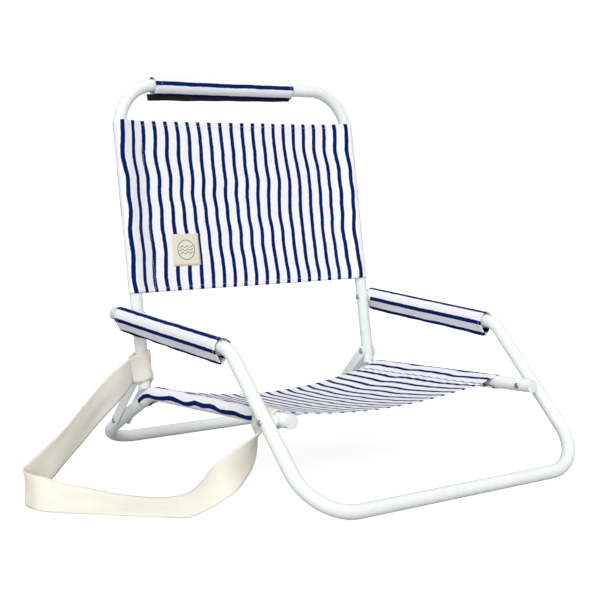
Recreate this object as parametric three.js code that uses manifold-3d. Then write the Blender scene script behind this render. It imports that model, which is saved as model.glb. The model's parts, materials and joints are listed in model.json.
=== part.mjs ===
// A low folding beach chair: three bent metal tubes, four flat links, riveted pivots,
// canvas seat and back panels sewn round the tubes, padded sleeves and a webbing carry strap.
// Millimetres, +Z up. The origin is on the ground under the middle of the chair.
// The chair faces -Y, and its left side, where the carry strap is, is at -X.

import * as THREE from 'three';
import { mergeVertices } from 'three/addons/utils/BufferGeometryUtils.js';
import Module from 'manifold-3d';

const wasm = await Module();
wasm.setup();

// ---- Driving dimensions ----

const tube = {
  radius: 11,
  bore: 9.6,
  sides: 16,
  boreSides: 8,
};

// Half the distance between the centre lines of each frame's two sides.
const halfWidth = {
  front: 277.8,
  seat: 249.0,
  back: 249.5,
};

// Points in the side view, as [y, z], on the tubes' centre lines.
const side = {
  frontLegPivot: [-246.2, 133.2],
  armPivot: [184.6, 259.6],
  linkTop: [170.2, 154.1],
  linkBottom: [260.0, 64.4],
  armEnd: [213.6, 262.0],
  armCorner: [-152.4, 231.6],
  frontBar: [-362.5, tube.radius],
  railEnd: [-269.1, 133.7],
  seatBend: [139.7, 127.0],
  rearBar: [362.5, tube.radius],
  uprightEnd: [167.5, 134.9],
  headBar: [239.8, 660.4],
};

const bend = {
  armCorner: 48,
  frontBar: 81,
  seatBend: 50,
  rearBar: 88,
  headBar: 77,
};

const gap = 0.3;
const flatToVertex = 1 / Math.cos(Math.PI / tube.sides);
const tubeReach = tube.radius * flatToVertex;

const rivet = {
  shank: 3.0,
  hole: 3.45,
  head: 5.0,
  rim: 0.5,
  dome: 2.0,
  crown: 2.75,
  crownDrop: 0.4,
  sides: 12,
};

const spacerRadius = 9.5;

const link = {
  width: 20,
  thickness: 2.2,
  // Room for the seat frame's rear bends to pass the inner links as the chair folds.
  room: 1.5,
};

const cap = {
  radius: 11.3,
  thickness: 3.0,
  rim: 1.0,
  dome: 0.4,
  plugRadius: 8.9,
  plugLength: 10,
};

const fabric = {
  sleeveInner: 11.6,
  sleeveOuter: 12.4,
  halfThickness: 0.5,
};

// Distances along the uprights, from the arm pivot upwards.
const backPanel = { from: 36.5, to: 332 };
const label = { x: -146.6, along: 107, width: 56, height: 57, thickness: 0.8 };

const seatPanel = { front: -190, pastBend: 36, sag: 17 };

const sleeve = {
  foamInner: 11.4,
  foamOuter: 14.0,
  coverInner: 14.25,
  coverOuter: 15.0,
};
const headSleeve = { left: -190, right: 121, firstStation: 8 };
const armSleeve = { rear: 188, front: -133 };
// Openings in the arm sleeves at the pivot: how far they are cut each way, and their room.
const pivotOpening = { inwards: 40, outwards: 15, clearance: 0.6 };
const closure = { armTop: 15.6, armBottom: 24, headTop: 18, headBottom: 27, thickness: 1.6 };

const strap = {
  width: 50,
  thickness: 1.8,
  loopInner: 11.6,
  loopOuter: 13.6,
  rearLoop: [-90, -63],
  frontLoop: [-235, -192.5],
};

// The strap's route from the upright's loop to the seat rail's loop, chosen by hand:
// its middle, and the direction of its width, at each place.
const strapRoute = [
  [[-278, 159, 170], [-0.30, -0.35, 0.88]],
  [[-296, 152, 158], [-0.42, -0.25, 0.86]],
  [[-318, 145, 144], [-0.50, -0.12, 0.86]],
  [[-352, 132, 123], [-0.48, -0.16, 0.86]],
  [[-385, 118, 102], [-0.46, -0.22, 0.86]],
  [[-417, 103, 81], [-0.46, -0.22, 0.86]],
  [[-450, 89, 61], [-0.46, -0.16, 0.87]],
  [[-483, 74, 43], [-0.45, -0.04, 0.89]],
  [[-505, 62, 33], [-0.36, 0.06, 0.93]],
  [[-522, 50, 28], [-0.20, 0.10, 0.97]],
  [[-533, 35, 26], [0.03, 0.10, 0.99]],
  [[-538, 18, 26], [0.11, 0.08, 0.99]],
  [[-538, 0, 26], [0.14, 0.11, 0.98]],
  [[-535, -16, 26], [0.28, 0.22, 0.93]],
  [[-526, -31, 23.5], [0.45, 0.36, 0.81]],
  [[-512, -44, 20.5], [0.55, 0.47, 0.69]],
  [[-488, -66, 17], [0.61, 0.53, 0.58]],
  [[-462, -91, 13], [0.67, 0.60, 0.43]],
  [[-436, -118, 10.5], [0.70, 0.63, 0.33]],
  [[-411, -146, 10.5], [0.71, 0.62, 0.33]],
  [[-390, -173, 13], [0.65, 0.61, 0.44]],
  [[-376, -194, 19], [0.48, 0.64, 0.60]],
  [[-362, -213, 33], [0.25, 0.68, 0.69]],
  [[-346, -226, 50], [0.02, 0.52, 0.85]],
  [[-326, -229, 65], [-0.25, 0.20, 0.95]],
  [[-303, -225, 78], [-0.50, -0.18, 0.85]],
  [[-284, -220, 92], [-0.60, -0.55, 0.58]],
  [[-272, -216, 107], [-0.45, -0.82, 0.35]],
  [[-266, -214, 121], [-0.10, -0.99, 0.08]],
];

// ---- Materials ----

function material(color, roughness, metalness) {
  return () => new THREE.MeshStandardMaterial({ color, roughness, metalness });
}

const whitePaint = material(0xe8eeec, 0.28, 0.1);
const zincRivet = material(0x9aa0a0, 0.35, 0.9);
const whitePlastic = material(0xeff1ee, 0.45, 0.0);
const stripedCanvas = material(0xe2e4f0, 0.85, 0.0);
const blackTape = material(0x101014, 0.95, 0.0);
const foamPadding = material(0xc9a77c, 0.95, 0.0);
const creamWebbing = material(0xece2c8, 0.9, 0.0);
const creamLabel = material(0xe9e3cf, 0.85, 0.0);

// ---- Shared shapes ----

const group = new THREE.Group();

function add(name, geometry, makeMaterial) {
  const mesh = new THREE.Mesh(geometry, makeMaterial());
  mesh.name = name;
  group.add(mesh);
  return mesh;
}

// A chain of stations that an extrusion follows exactly, one ring at each.
// With widths, the section's own x axis lies along them and doesn't roll.
class Route extends THREE.Curve {
  constructor(points, widths = null) {
    super();
    this.points = points;
    this.widths = widths;
    this.steps = points.length - 1;
  }

  getPoint(t, target = new THREE.Vector3()) {
    const along = t * this.steps;
    const i = Math.min(Math.floor(along), this.steps - 1);
    return target.lerpVectors(this.points[i], this.points[i + 1], along - i);
  }

  getUtoTmapping(u) {
    return u;
  }

  computeFrenetFrames(segments, closed) {
    const frames = super.computeFrenetFrames(segments, closed);
    if (this.widths) {
      this.widths.forEach((width, i) => {
        const tangent = frames.tangents[i];
        const flat = width.clone().addScaledVector(tangent, -width.dot(tangent));
        frames.normals[i] = flat.normalize();
        frames.binormals[i] = tangent.clone().cross(frames.normals[i]);
      });
    }
    return frames;
  }
}

// Stations along straight runs joined by arcs, with a radius and steps for each corner.
function roundedRoute(corners, radii, steps) {
  const stations = [corners[0].clone()];
  radii.forEach((radius, k) => {
    const corner = corners[k + 1];
    const back = corners[k].clone().sub(corner).normalize();
    const ahead = corners[k + 2].clone().sub(corner).normalize();
    const half = back.angleTo(ahead) / 2;
    const turn = Math.PI - 2 * half;
    const middle = back.clone().add(ahead).normalize();
    const centre = corner.clone().addScaledVector(middle, radius / Math.sin(half));
    const first = corner.clone().addScaledVector(back, radius / Math.tan(half)).sub(centre);
    const last = corner.clone().addScaledVector(ahead, radius / Math.tan(half)).sub(centre);
    for (let i = 0; i <= steps[k]; i++) {
      const share = i / steps[k];
      const point = centre.clone();
      point.addScaledVector(first, Math.sin((1 - share) * turn) / Math.sin(turn));
      point.addScaledVector(last, Math.sin(share * turn) / Math.sin(turn));
      stations.push(point);
    }
  });
  stations.push(corners[corners.length - 1].clone());
  return new Route(stations);
}

// A polygon's corners, round a circle that its flats touch.
function polygon(flatRadius, sides, phase = 0, x = 0, y = 0) {
  const reach = flatRadius / Math.cos(Math.PI / sides);
  return Array.from({ length: sides }, (_, i) => {
    const angle = phase + ((i + 0.5) * 2 * Math.PI) / sides;
    return new THREE.Vector2(x + reach * Math.cos(angle), y + reach * Math.sin(angle));
  });
}

function ringShape(inner, outer, innerSides, outerSides, phase = 0) {
  const shape = new THREE.Shape(polygon(outer, outerSides, phase));
  shape.holes.push(new THREE.Path(polygon(inner, innerSides, phase)));
  return shape;
}

function extrudeAlong(shape, route) {
  return new THREE.ExtrudeGeometry(shape, {
    steps: route.steps,
    extrudePath: route,
    bevelEnabled: false,
  });
}

// The section's turn that puts one of its flats downwards half way along a route.
function phaseFacingDown(route) {
  const frames = route.computeFrenetFrames(route.steps, false);
  const middle = Math.floor(route.steps / 2);
  const down = new THREE.Vector3(0, 0, -1);
  return Math.atan2(down.dot(frames.binormals[middle]), down.dot(frames.normals[middle]));
}

function toSolid(geometry) {
  const bare = geometry.index ? geometry.toNonIndexed() : geometry.clone();
  bare.deleteAttribute('normal');
  bare.deleteAttribute('uv');
  const merged = mergeVertices(bare, 1e-4);
  return new wasm.Manifold(new wasm.Mesh({
    numProp: 3,
    vertProperties: new Float32Array(merged.attributes.position.array),
    triVerts: new Uint32Array(merged.index.array),
  }));
}

function fromSolid(solid) {
  const mesh = solid.getMesh();
  const geometry = new THREE.BufferGeometry();
  geometry.setAttribute('position', new THREE.BufferAttribute(mesh.vertProperties, 3));
  geometry.setIndex(new THREE.BufferAttribute(mesh.triVerts, 1));
  return geometry;
}

function cut(geometry, cutters) {
  let solid = toSolid(geometry);
  for (const cutter of cutters) {
    solid = solid.subtract(toSolid(cutter));
  }
  return fromSolid(solid);
}

// A drill along X, centred at x and on a side-view point.
function drill(radius, x, [y, z], length) {
  const sides = rivet.sides;
  const geometry = new THREE.CylinderGeometry(
    radius / Math.cos(Math.PI / sides), radius / Math.cos(Math.PI / sides), length, sides);
  geometry.rotateZ(Math.PI / 2);
  geometry.translate(x, y, z);
  return geometry;
}

// A turned piece on an axis along X: the profile's points are [radius, distance from the chair's middle].
function turned(profile, hand, [y, z], sides) {
  const points = profile.map(([radius, out]) => new THREE.Vector2(radius, out));
  const geometry = new THREE.LatheGeometry(points, sides);
  geometry.rotateZ(-hand * Math.PI / 2);
  geometry.translate(0, y, z);
  return geometry;
}

const hands = [
  { name: 'left', sign: -1 },
  { name: 'right', sign: 1 },
];

function sidePoint(x, [y, z]) {
  return new THREE.Vector3(x, y, z);
}

// ---- The three bent tubes ----

function frameTube(route, phase, holes) {
  const shape = ringShape(tube.bore, tube.radius, tube.boreSides, tube.sides, phase);
  const cutters = holes.flatMap(({ x, at }) =>
    hands.map(({ sign }) => drill(rivet.hole, sign * x, at, 3 * tube.radius)));
  return cut(extrudeAlong(shape, route), cutters);
}

const frontRoute = roundedRoute(
  [
    sidePoint(-halfWidth.front, side.armEnd),
    sidePoint(-halfWidth.front, side.armCorner),
    sidePoint(-halfWidth.front, side.frontBar),
    sidePoint(halfWidth.front, side.frontBar),
    sidePoint(halfWidth.front, side.armCorner),
    sidePoint(halfWidth.front, side.armEnd),
  ],
  [bend.armCorner, bend.frontBar, bend.frontBar, bend.armCorner],
  [4, 8, 8, 4],
);

const seatRoute = roundedRoute(
  [
    sidePoint(-halfWidth.seat, side.railEnd),
    sidePoint(-halfWidth.seat, side.seatBend),
    sidePoint(-halfWidth.seat, side.rearBar),
    sidePoint(halfWidth.seat, side.rearBar),
    sidePoint(halfWidth.seat, side.seatBend),
    sidePoint(halfWidth.seat, side.railEnd),
  ],
  [bend.seatBend, bend.rearBar, bend.rearBar, bend.seatBend],
  [3, 8, 8, 3],
);

const backRoute = roundedRoute(
  [
    sidePoint(-halfWidth.back, side.uprightEnd),
    sidePoint(-halfWidth.back, side.headBar),
    sidePoint(halfWidth.back, side.headBar),
    sidePoint(halfWidth.back, side.uprightEnd),
  ],
  [bend.headBar, bend.headBar],
  [8, 8],
);

add('front_frame_tube', frameTube(frontRoute, phaseFacingDown(frontRoute), [
  { x: halfWidth.front, at: side.frontLegPivot },
  { x: halfWidth.front, at: side.armPivot },
]), whitePaint);

add('seat_frame_tube', frameTube(seatRoute, phaseFacingDown(seatRoute), [
  { x: halfWidth.seat, at: side.frontLegPivot },
  { x: halfWidth.seat, at: side.linkBottom },
]), whitePaint);

add('back_frame_tube', frameTube(backRoute, 0, [
  { x: halfWidth.back, at: side.armPivot },
  { x: halfWidth.back, at: side.linkTop },
]), whitePaint);

// ---- End caps: a disc on the tube's end and a plug in its bore ----

function endCap(x, end, inwards) {
  const profile = [
    [0, -cap.plugLength],
    [cap.plugRadius - cap.rim, -cap.plugLength],
    [cap.plugRadius, -cap.plugLength + cap.rim],
    [cap.plugRadius, gap],
    [cap.radius, gap],
    [cap.radius, cap.thickness - cap.rim],
    [cap.radius - cap.rim, cap.thickness],
    [0, cap.thickness + cap.dome],
  ].map(([radius, out]) => new THREE.Vector2(radius, out));
  const geometry = new THREE.LatheGeometry(profile, tube.sides);
  const outwards = new THREE.Vector3(0, end[0] - inwards[0], end[1] - inwards[1]).normalize();
  const turn = new THREE.Quaternion().setFromUnitVectors(new THREE.Vector3(0, 1, 0), outwards);
  geometry.applyQuaternion(turn);
  geometry.translate(x, end[0], end[1]);
  return geometry;
}

for (const { name, sign } of hands) {
  add(`arm_end_cap_${name}`, endCap(sign * halfWidth.front, side.armEnd, side.armCorner), whitePlastic);
  add(`seat_rail_cap_${name}`, endCap(sign * halfWidth.seat, side.railEnd, side.seatBend), whitePlastic);
  add(`upright_foot_${name}`, endCap(sign * halfWidth.back, side.uprightEnd, side.headBar), whitePlastic);
}

// ---- Rivets, spacers and links ----

function rivetGeometry(from, to, hand, at) {
  return turned([
    [0, from - rivet.dome],
    [rivet.crown, from - rivet.dome + rivet.crownDrop],
    [rivet.head, from - rivet.rim],
    [rivet.head, from],
    [rivet.shank, from],
    [rivet.shank, to],
    [rivet.head, to],
    [rivet.head, to + rivet.rim],
    [rivet.crown, to + rivet.dome - rivet.crownDrop],
    [0, to + rivet.dome],
  ], hand, at, rivet.sides);
}

// Each lower link rivet is made as two studs that stop short of the seat frame's tube.
function studGeometry(tip, under, hand, at) {
  const away = Math.sign(under - tip);
  const profile = [
    [0, tip],
    [rivet.shank, tip],
    [rivet.shank, under],
    [rivet.head, under],
    [rivet.head, under + away * rivet.rim],
    [rivet.crown, under + away * (rivet.dome - rivet.crownDrop)],
    [0, under + away * rivet.dome],
  ];
  return turned(away > 0 ? profile : profile.reverse(), hand, at, rivet.sides);
}

function spacerGeometry(from, to, hand, at) {
  return turned([
    [rivet.hole, from],
    [spacerRadius, from],
    [spacerRadius, to],
    [rivet.hole, to],
    [rivet.hole, from],
  ], hand, at, tube.sides);
}

const inside = {
  seat: halfWidth.seat - tubeReach - gap,
  back: halfWidth.back - tubeReach - gap,
  front: halfWidth.front - tubeReach - gap,
};
const outside = {
  seat: halfWidth.seat + tubeReach + gap,
  back: halfWidth.back + tubeReach + gap,
  front: halfWidth.front + tubeReach + gap,
};
const plateOut = outside.back;
const plateIn = inside.seat - link.room - link.thickness;

// A flat bar with round ends between the two link pivots, its inner face at x.
function linkPlate(x, hand) {
  const [topY, topZ] = side.linkTop;
  const [bottomY, bottomZ] = side.linkBottom;
  const radius = link.width / 2;
  const tilt = Math.atan2(bottomZ - topZ, bottomY - topY);
  const shape = new THREE.Shape();
  shape.absarc(bottomY, bottomZ, radius, tilt - Math.PI / 2, tilt + Math.PI / 2, false);
  shape.absarc(topY, topZ, radius, tilt + Math.PI / 2, tilt + 1.5 * Math.PI, false);
  for (const [y, z] of [side.linkTop, side.linkBottom]) {
    shape.holes.push(new THREE.Path(polygon(rivet.hole, rivet.sides, 0, y, z)));
  }
  const geometry = new THREE.ExtrudeGeometry(shape, {
    depth: link.thickness,
    bevelEnabled: false,
    curveSegments: 8,
  });
  // The shape's x, y and depth become the chair's y, z and x.
  geometry.applyMatrix4(new THREE.Matrix4().set(
    0, 0, 1, hand > 0 ? x : -x - link.thickness,
    1, 0, 0, 0,
    0, 1, 0, 0,
    0, 0, 0, 1,
  ));
  return geometry;
}

for (const { name, sign } of hands) {
  add(`front_pivot_rivet_${name}`,
    rivetGeometry(inside.seat, outside.front, sign, side.frontLegPivot), zincRivet);
  add(`front_pivot_spacer_${name}`,
    spacerGeometry(outside.seat, inside.front, sign, side.frontLegPivot), whitePlastic);
  add(`arm_pivot_rivet_${name}`,
    rivetGeometry(inside.back, outside.front, sign, side.armPivot), zincRivet);
  add(`arm_pivot_spacer_${name}`,
    spacerGeometry(outside.back, inside.front, sign, side.armPivot), whitePlastic);
  add(`link_outer_${name}`, linkPlate(plateOut, sign), whitePaint);
  add(`link_inner_${name}`, linkPlate(plateIn, sign), whitePaint);
  add(`link_upper_rivet_${name}`,
    rivetGeometry(plateIn - gap, plateOut + link.thickness + gap, sign, side.linkTop), zincRivet);
  add(`link_lower_rivet_outer_${name}`,
    studGeometry(plateOut, plateOut + link.thickness + gap, sign, side.linkBottom), zincRivet);
  add(`link_lower_rivet_inner_${name}`,
    studGeometry(plateIn + link.thickness, plateIn - gap, sign, side.linkBottom), zincRivet);
}

// ---- Canvas panels: a sheet that ends in a sewn sleeve round each side tube ----

function panelShape(half, sag) {
  const reach = fabric.sleeveOuter * flatToVertex;
  const lip = Math.asin(fabric.halfThickness / reach);
  const ringSteps = 15;
  const sheetSteps = 8;
  const points = [];
  for (let i = 0; i <= ringSteps; i++) {
    const angle = lip + (i / ringSteps) * (2 * Math.PI - 2 * lip);
    points.push(new THREE.Vector2(-half + reach * Math.cos(angle), reach * Math.sin(angle)));
  }
  const inner = half - reach;
  const hang = (x) => -sag * (1 - (x / inner) ** 2);
  for (let i = 1; i < sheetSteps; i++) {
    const x = -inner + (i / sheetSteps) * 2 * inner;
    points.push(new THREE.Vector2(x, hang(x) - fabric.halfThickness));
  }
  for (let i = 0; i <= ringSteps; i++) {
    const angle = Math.PI + lip + (i / ringSteps) * (2 * Math.PI - 2 * lip);
    points.push(new THREE.Vector2(half + reach * Math.cos(angle), reach * Math.sin(angle)));
  }
  for (let i = 1; i < sheetSteps; i++) {
    const x = inner - (i / sheetSteps) * 2 * inner;
    points.push(new THREE.Vector2(x, hang(x) + fabric.halfThickness));
  }
  const shape = new THREE.Shape(points);
  for (const x of [-half, half]) {
    shape.holes.push(new THREE.Path(polygon(fabric.sleeveInner, tube.sides, 0, x, 0)));
  }
  return shape;
}

// With the section's x axis along -X, its y axis points up from the sheet, so a sag hangs down.
const across = new THREE.Vector3(-1, 0, 0);

function middleRoute(route) {
  return new Route(route.points, route.points.map(() => across));
}

function between(a, b, distance) {
  return a.clone().addScaledVector(b.clone().sub(a).normalize(), distance);
}

const seatFront = sidePoint(0, side.railEnd);
const seatTurn = sidePoint(0, side.seatBend);
const seatRear = sidePoint(0, side.rearBar);
const seatPanelRoute = middleRoute(roundedRoute(
  [
    between(seatTurn, seatFront, side.seatBend[0] - seatPanel.front),
    seatTurn,
    between(seatTurn, seatRear, seatPanel.pastBend),
  ],
  [bend.seatBend],
  [3],
));
add('seat_panel', extrudeAlong(panelShape(halfWidth.seat, seatPanel.sag), seatPanelRoute), stripedCanvas);

// Places on the back frame, at a distance up the uprights from the arm pivot.
const armPivotMiddle = sidePoint(0, side.armPivot);
const headMiddle = sidePoint(0, side.headBar);
const upDirection = headMiddle.clone().sub(armPivotMiddle).normalize();
const frontDirection = new THREE.Vector3(0, -upDirection.z, upDirection.y);

function onBack(x, along, forward = 0) {
  const point = armPivotMiddle.clone().addScaledVector(upDirection, along);
  point.addScaledVector(frontDirection, forward);
  point.x = x;
  return point;
}

const backPanelRoute = middleRoute(new Route([
  onBack(0, backPanel.from),
  onBack(0, backPanel.to),
]));
add('back_panel', extrudeAlong(panelShape(halfWidth.back, 0), backPanelRoute), stripedCanvas);

// A flat box on the back frame, from its own size to its place.
function boxOnBack(width, thickness, height, x, along, forward) {
  const geometry = new THREE.BoxGeometry(width, thickness, height);
  const turn = new THREE.Quaternion().setFromUnitVectors(new THREE.Vector3(0, 0, 1), upDirection);
  geometry.applyQuaternion(turn);
  const place = onBack(x, along, forward);
  geometry.translate(place.x, place.y, place.z);
  return geometry;
}

add('back_label', boxOnBack(
  label.width, label.thickness, label.height,
  label.x, label.along, fabric.halfThickness + gap + label.thickness / 2,
), creamLabel);

// ---- Padded sleeves: foam round the tube, a canvas cover and its hook-and-loop closure ----

const foamShape = ringShape(sleeve.foamInner, sleeve.foamOuter, tube.sides, tube.sides);
const coverShape = ringShape(sleeve.coverInner, sleeve.coverOuter, tube.sides, tube.sides);
const headAlong = headMiddle.distanceTo(armPivotMiddle);
// The sleeve's left end lies over the start of the tube's bend.
const headRoute = new Route([
  backRoute.points[headSleeve.firstStation],
  backRoute.points[headSleeve.firstStation + 1],
  onBack(headSleeve.right, headAlong),
]);
add('head_foam', extrudeAlong(foamShape, headRoute), foamPadding);
add('head_cover', extrudeAlong(coverShape, headRoute), stripedCanvas);
add('head_closure', boxOnBack(
  headSleeve.right - headSleeve.left, closure.thickness, closure.headBottom - closure.headTop,
  (headSleeve.left + headSleeve.right) / 2, headAlong - (closure.headBottom + closure.headTop) / 2, 0,
), blackTape);

const armStart = sidePoint(0, side.armEnd);
const armFront = sidePoint(0, side.armCorner);
const armDirection = armFront.clone().sub(armStart).normalize();
const armTurn = new THREE.Quaternion().setFromUnitVectors(new THREE.Vector3(0, -1, 0), armDirection);

function onArm(x, y) {
  const point = armStart.clone().addScaledVector(armDirection, (y - armStart.y) / armDirection.y);
  point.x = x;
  return point;
}

for (const { name, sign } of hands) {
  const x = sign * halfWidth.front;
  // The front end stops just short of the tube's bend.
  const route = new Route([onArm(x, armSleeve.rear), onArm(x, armSleeve.front)]);
  const { inwards, outwards, clearance } = pivotOpening;
  const spacerHole = drill(
    spacerRadius + clearance, sign * (halfWidth.front - inwards / 2), side.armPivot, inwards);
  const headHole = drill(
    rivet.head + clearance, sign * (halfWidth.front + outwards / 2), side.armPivot, outwards);
  add(`arm_foam_${name}`, cut(extrudeAlong(foamShape, route), [spacerHole, headHole]), foamPadding);
  add(`arm_cover_${name}`, cut(extrudeAlong(coverShape, route), [spacerHole]), stripedCanvas);
  const middle = onArm(x, (armSleeve.rear + armSleeve.front) / 2);
  const strip = new THREE.BoxGeometry(
    closure.thickness, route.points[0].distanceTo(route.points[1]), closure.armBottom - closure.armTop);
  strip.translate(0, 0, -(closure.armBottom + closure.armTop) / 2);
  strip.applyQuaternion(armTurn);
  strip.translate(middle.x, middle.y, middle.z);
  add(`arm_closure_${name}`, strip, blackTape);
}

// ---- Carry strap: cotton webbing from a loop on the left upright to a loop on the left rail ----

const loopShape = ringShape(strap.loopInner, strap.loopOuter, tube.sides, tube.sides);
const [loopLow, loopHigh] = strap.rearLoop;
add('carry_strap_rear_loop', extrudeAlong(loopShape, new Route([
  onBack(-halfWidth.back, loopLow),
  onBack(-halfWidth.back, loopHigh),
])), creamWebbing);

function onRail(x, y) {
  const share = (y - seatFront.y) / (seatTurn.y - seatFront.y);
  const point = seatFront.clone().lerp(seatTurn, share);
  point.x = x;
  return point;
}

add('carry_strap_front_loop', extrudeAlong(loopShape, new Route(
  strap.frontLoop.map((y) => onRail(-halfWidth.seat, y)),
)), creamWebbing);

const halfStrap = strap.width / 2;
const halfPly = strap.thickness / 2;
const strapShape = new THREE.Shape([
  [halfStrap, -0.5 * halfPly],
  [halfStrap, 0.5 * halfPly],
  [halfStrap - 1, halfPly],
  [1 - halfStrap, halfPly],
  [-halfStrap, 0.5 * halfPly],
  [-halfStrap, -0.5 * halfPly],
  [1 - halfStrap, -halfPly],
  [halfStrap - 1, -halfPly],
].map(([x, y]) => new THREE.Vector2(x, y)));
add('carry_strap', extrudeAlong(strapShape, new Route(
  strapRoute.map(([middle]) => new THREE.Vector3(...middle)),
  strapRoute.map(([, width]) => new THREE.Vector3(...width)),
)), creamWebbing);

export default group;
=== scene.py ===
import json
import math

import bpy
import numpy as np
from mathutils import Matrix, Vector


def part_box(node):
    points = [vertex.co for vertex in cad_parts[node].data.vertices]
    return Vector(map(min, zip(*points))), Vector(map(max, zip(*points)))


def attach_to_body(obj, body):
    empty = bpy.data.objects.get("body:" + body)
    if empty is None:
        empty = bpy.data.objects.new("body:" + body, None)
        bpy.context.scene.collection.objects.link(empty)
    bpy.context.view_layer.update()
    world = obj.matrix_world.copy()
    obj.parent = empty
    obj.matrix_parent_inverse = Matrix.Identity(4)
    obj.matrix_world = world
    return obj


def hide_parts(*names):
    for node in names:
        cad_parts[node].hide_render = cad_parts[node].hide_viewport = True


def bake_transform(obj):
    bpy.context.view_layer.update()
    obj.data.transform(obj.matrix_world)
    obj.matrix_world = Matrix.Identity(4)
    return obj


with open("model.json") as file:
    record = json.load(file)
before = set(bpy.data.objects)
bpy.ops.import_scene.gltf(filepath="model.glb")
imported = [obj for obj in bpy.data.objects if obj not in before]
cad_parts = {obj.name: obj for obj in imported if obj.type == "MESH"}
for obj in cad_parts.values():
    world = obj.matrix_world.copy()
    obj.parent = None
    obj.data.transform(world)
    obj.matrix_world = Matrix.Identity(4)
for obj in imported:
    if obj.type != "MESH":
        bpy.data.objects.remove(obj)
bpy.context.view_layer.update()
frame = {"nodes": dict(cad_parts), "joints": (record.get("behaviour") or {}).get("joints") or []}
print("frame loaded:", len(frame["nodes"]), "nodes")

# where things are: pivots and half widths come from the frame, in metres

joints = {joint["name"]: joint for joint in frame["joints"]}
gap = 0.0003
tube = {"radius": 0.011, "roundSides": 32, "bendSteps": 18}


def boxMiddle(node):
    low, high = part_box(node)
    return (low + high) / 2


def sideOf(point):
    return (point[1], point[2])


armPivot = sideOf(joints["back_fold"]["pos_m"])
linkTop = sideOf(joints["link_fold_left"]["pos_m"])
linkBottom = sideOf(boxMiddle("link_lower_rivet_outer_left"))
halfFront = boxMiddle("arm_end_cap_right").x
halfSeat = boxMiddle("seat_rail_cap_right").x
halfBack = boxMiddle("upright_foot_right").x

# the rest of the side view's centre lines, as (y, z)
sideView = {
    "armEnd": (0.2136, 0.2620),
    "armCorner": (-0.1524, 0.2316),
    "frontBar": (-0.3625, tube["radius"]),
    "railEnd": (-0.2691, 0.1337),
    "seatBend": (0.1397, 0.1270),
    "rearBar": (0.3625, tube["radius"]),
    "uprightEnd": (0.1675, 0.1349),
    "headBar": (0.2398, 0.6604),
}
bends = {"armCorner": 0.048, "frontBar": 0.081, "seatBend": 0.050, "rearBar": 0.088, "headBar": 0.077}
hands = (("left", -1), ("right", 1))

# camera

camera = {"azimuth": -35.84, "elevation": 4.90, "roll": -0.0177, "lens": 75.79,
          "distance": 2.2296, "target": (0.0002, 0.0482, 0.2770)}


def makeCamera():
    azimuth, elevation = math.radians(camera["azimuth"]), math.radians(camera["elevation"])
    back = Vector((math.sin(azimuth) * math.cos(elevation),
                   -math.cos(azimuth) * math.cos(elevation), math.sin(elevation)))
    right = Vector((0, 0, 1)).cross(back).normalized()
    up = back.cross(right)
    c, s = math.cos(camera["roll"]), math.sin(camera["roll"])
    rolledRight = c * right + s * up
    rolledUp = c * up - s * right
    place = Matrix((rolledRight, rolledUp, back)).transposed().to_4x4()
    place.translation = Vector(camera["target"]) + camera["distance"] * back
    data = bpy.data.cameras.new("camera")
    data.lens = camera["lens"]
    data.sensor_width = 36
    data.dof.use_dof = False
    obj = bpy.data.objects.new("camera", data)
    bpy.context.scene.collection.objects.link(obj)
    obj.matrix_world = place
    bpy.context.scene.camera = obj


makeCamera()
print("camera placed")

# node helpers for the materials


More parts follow.
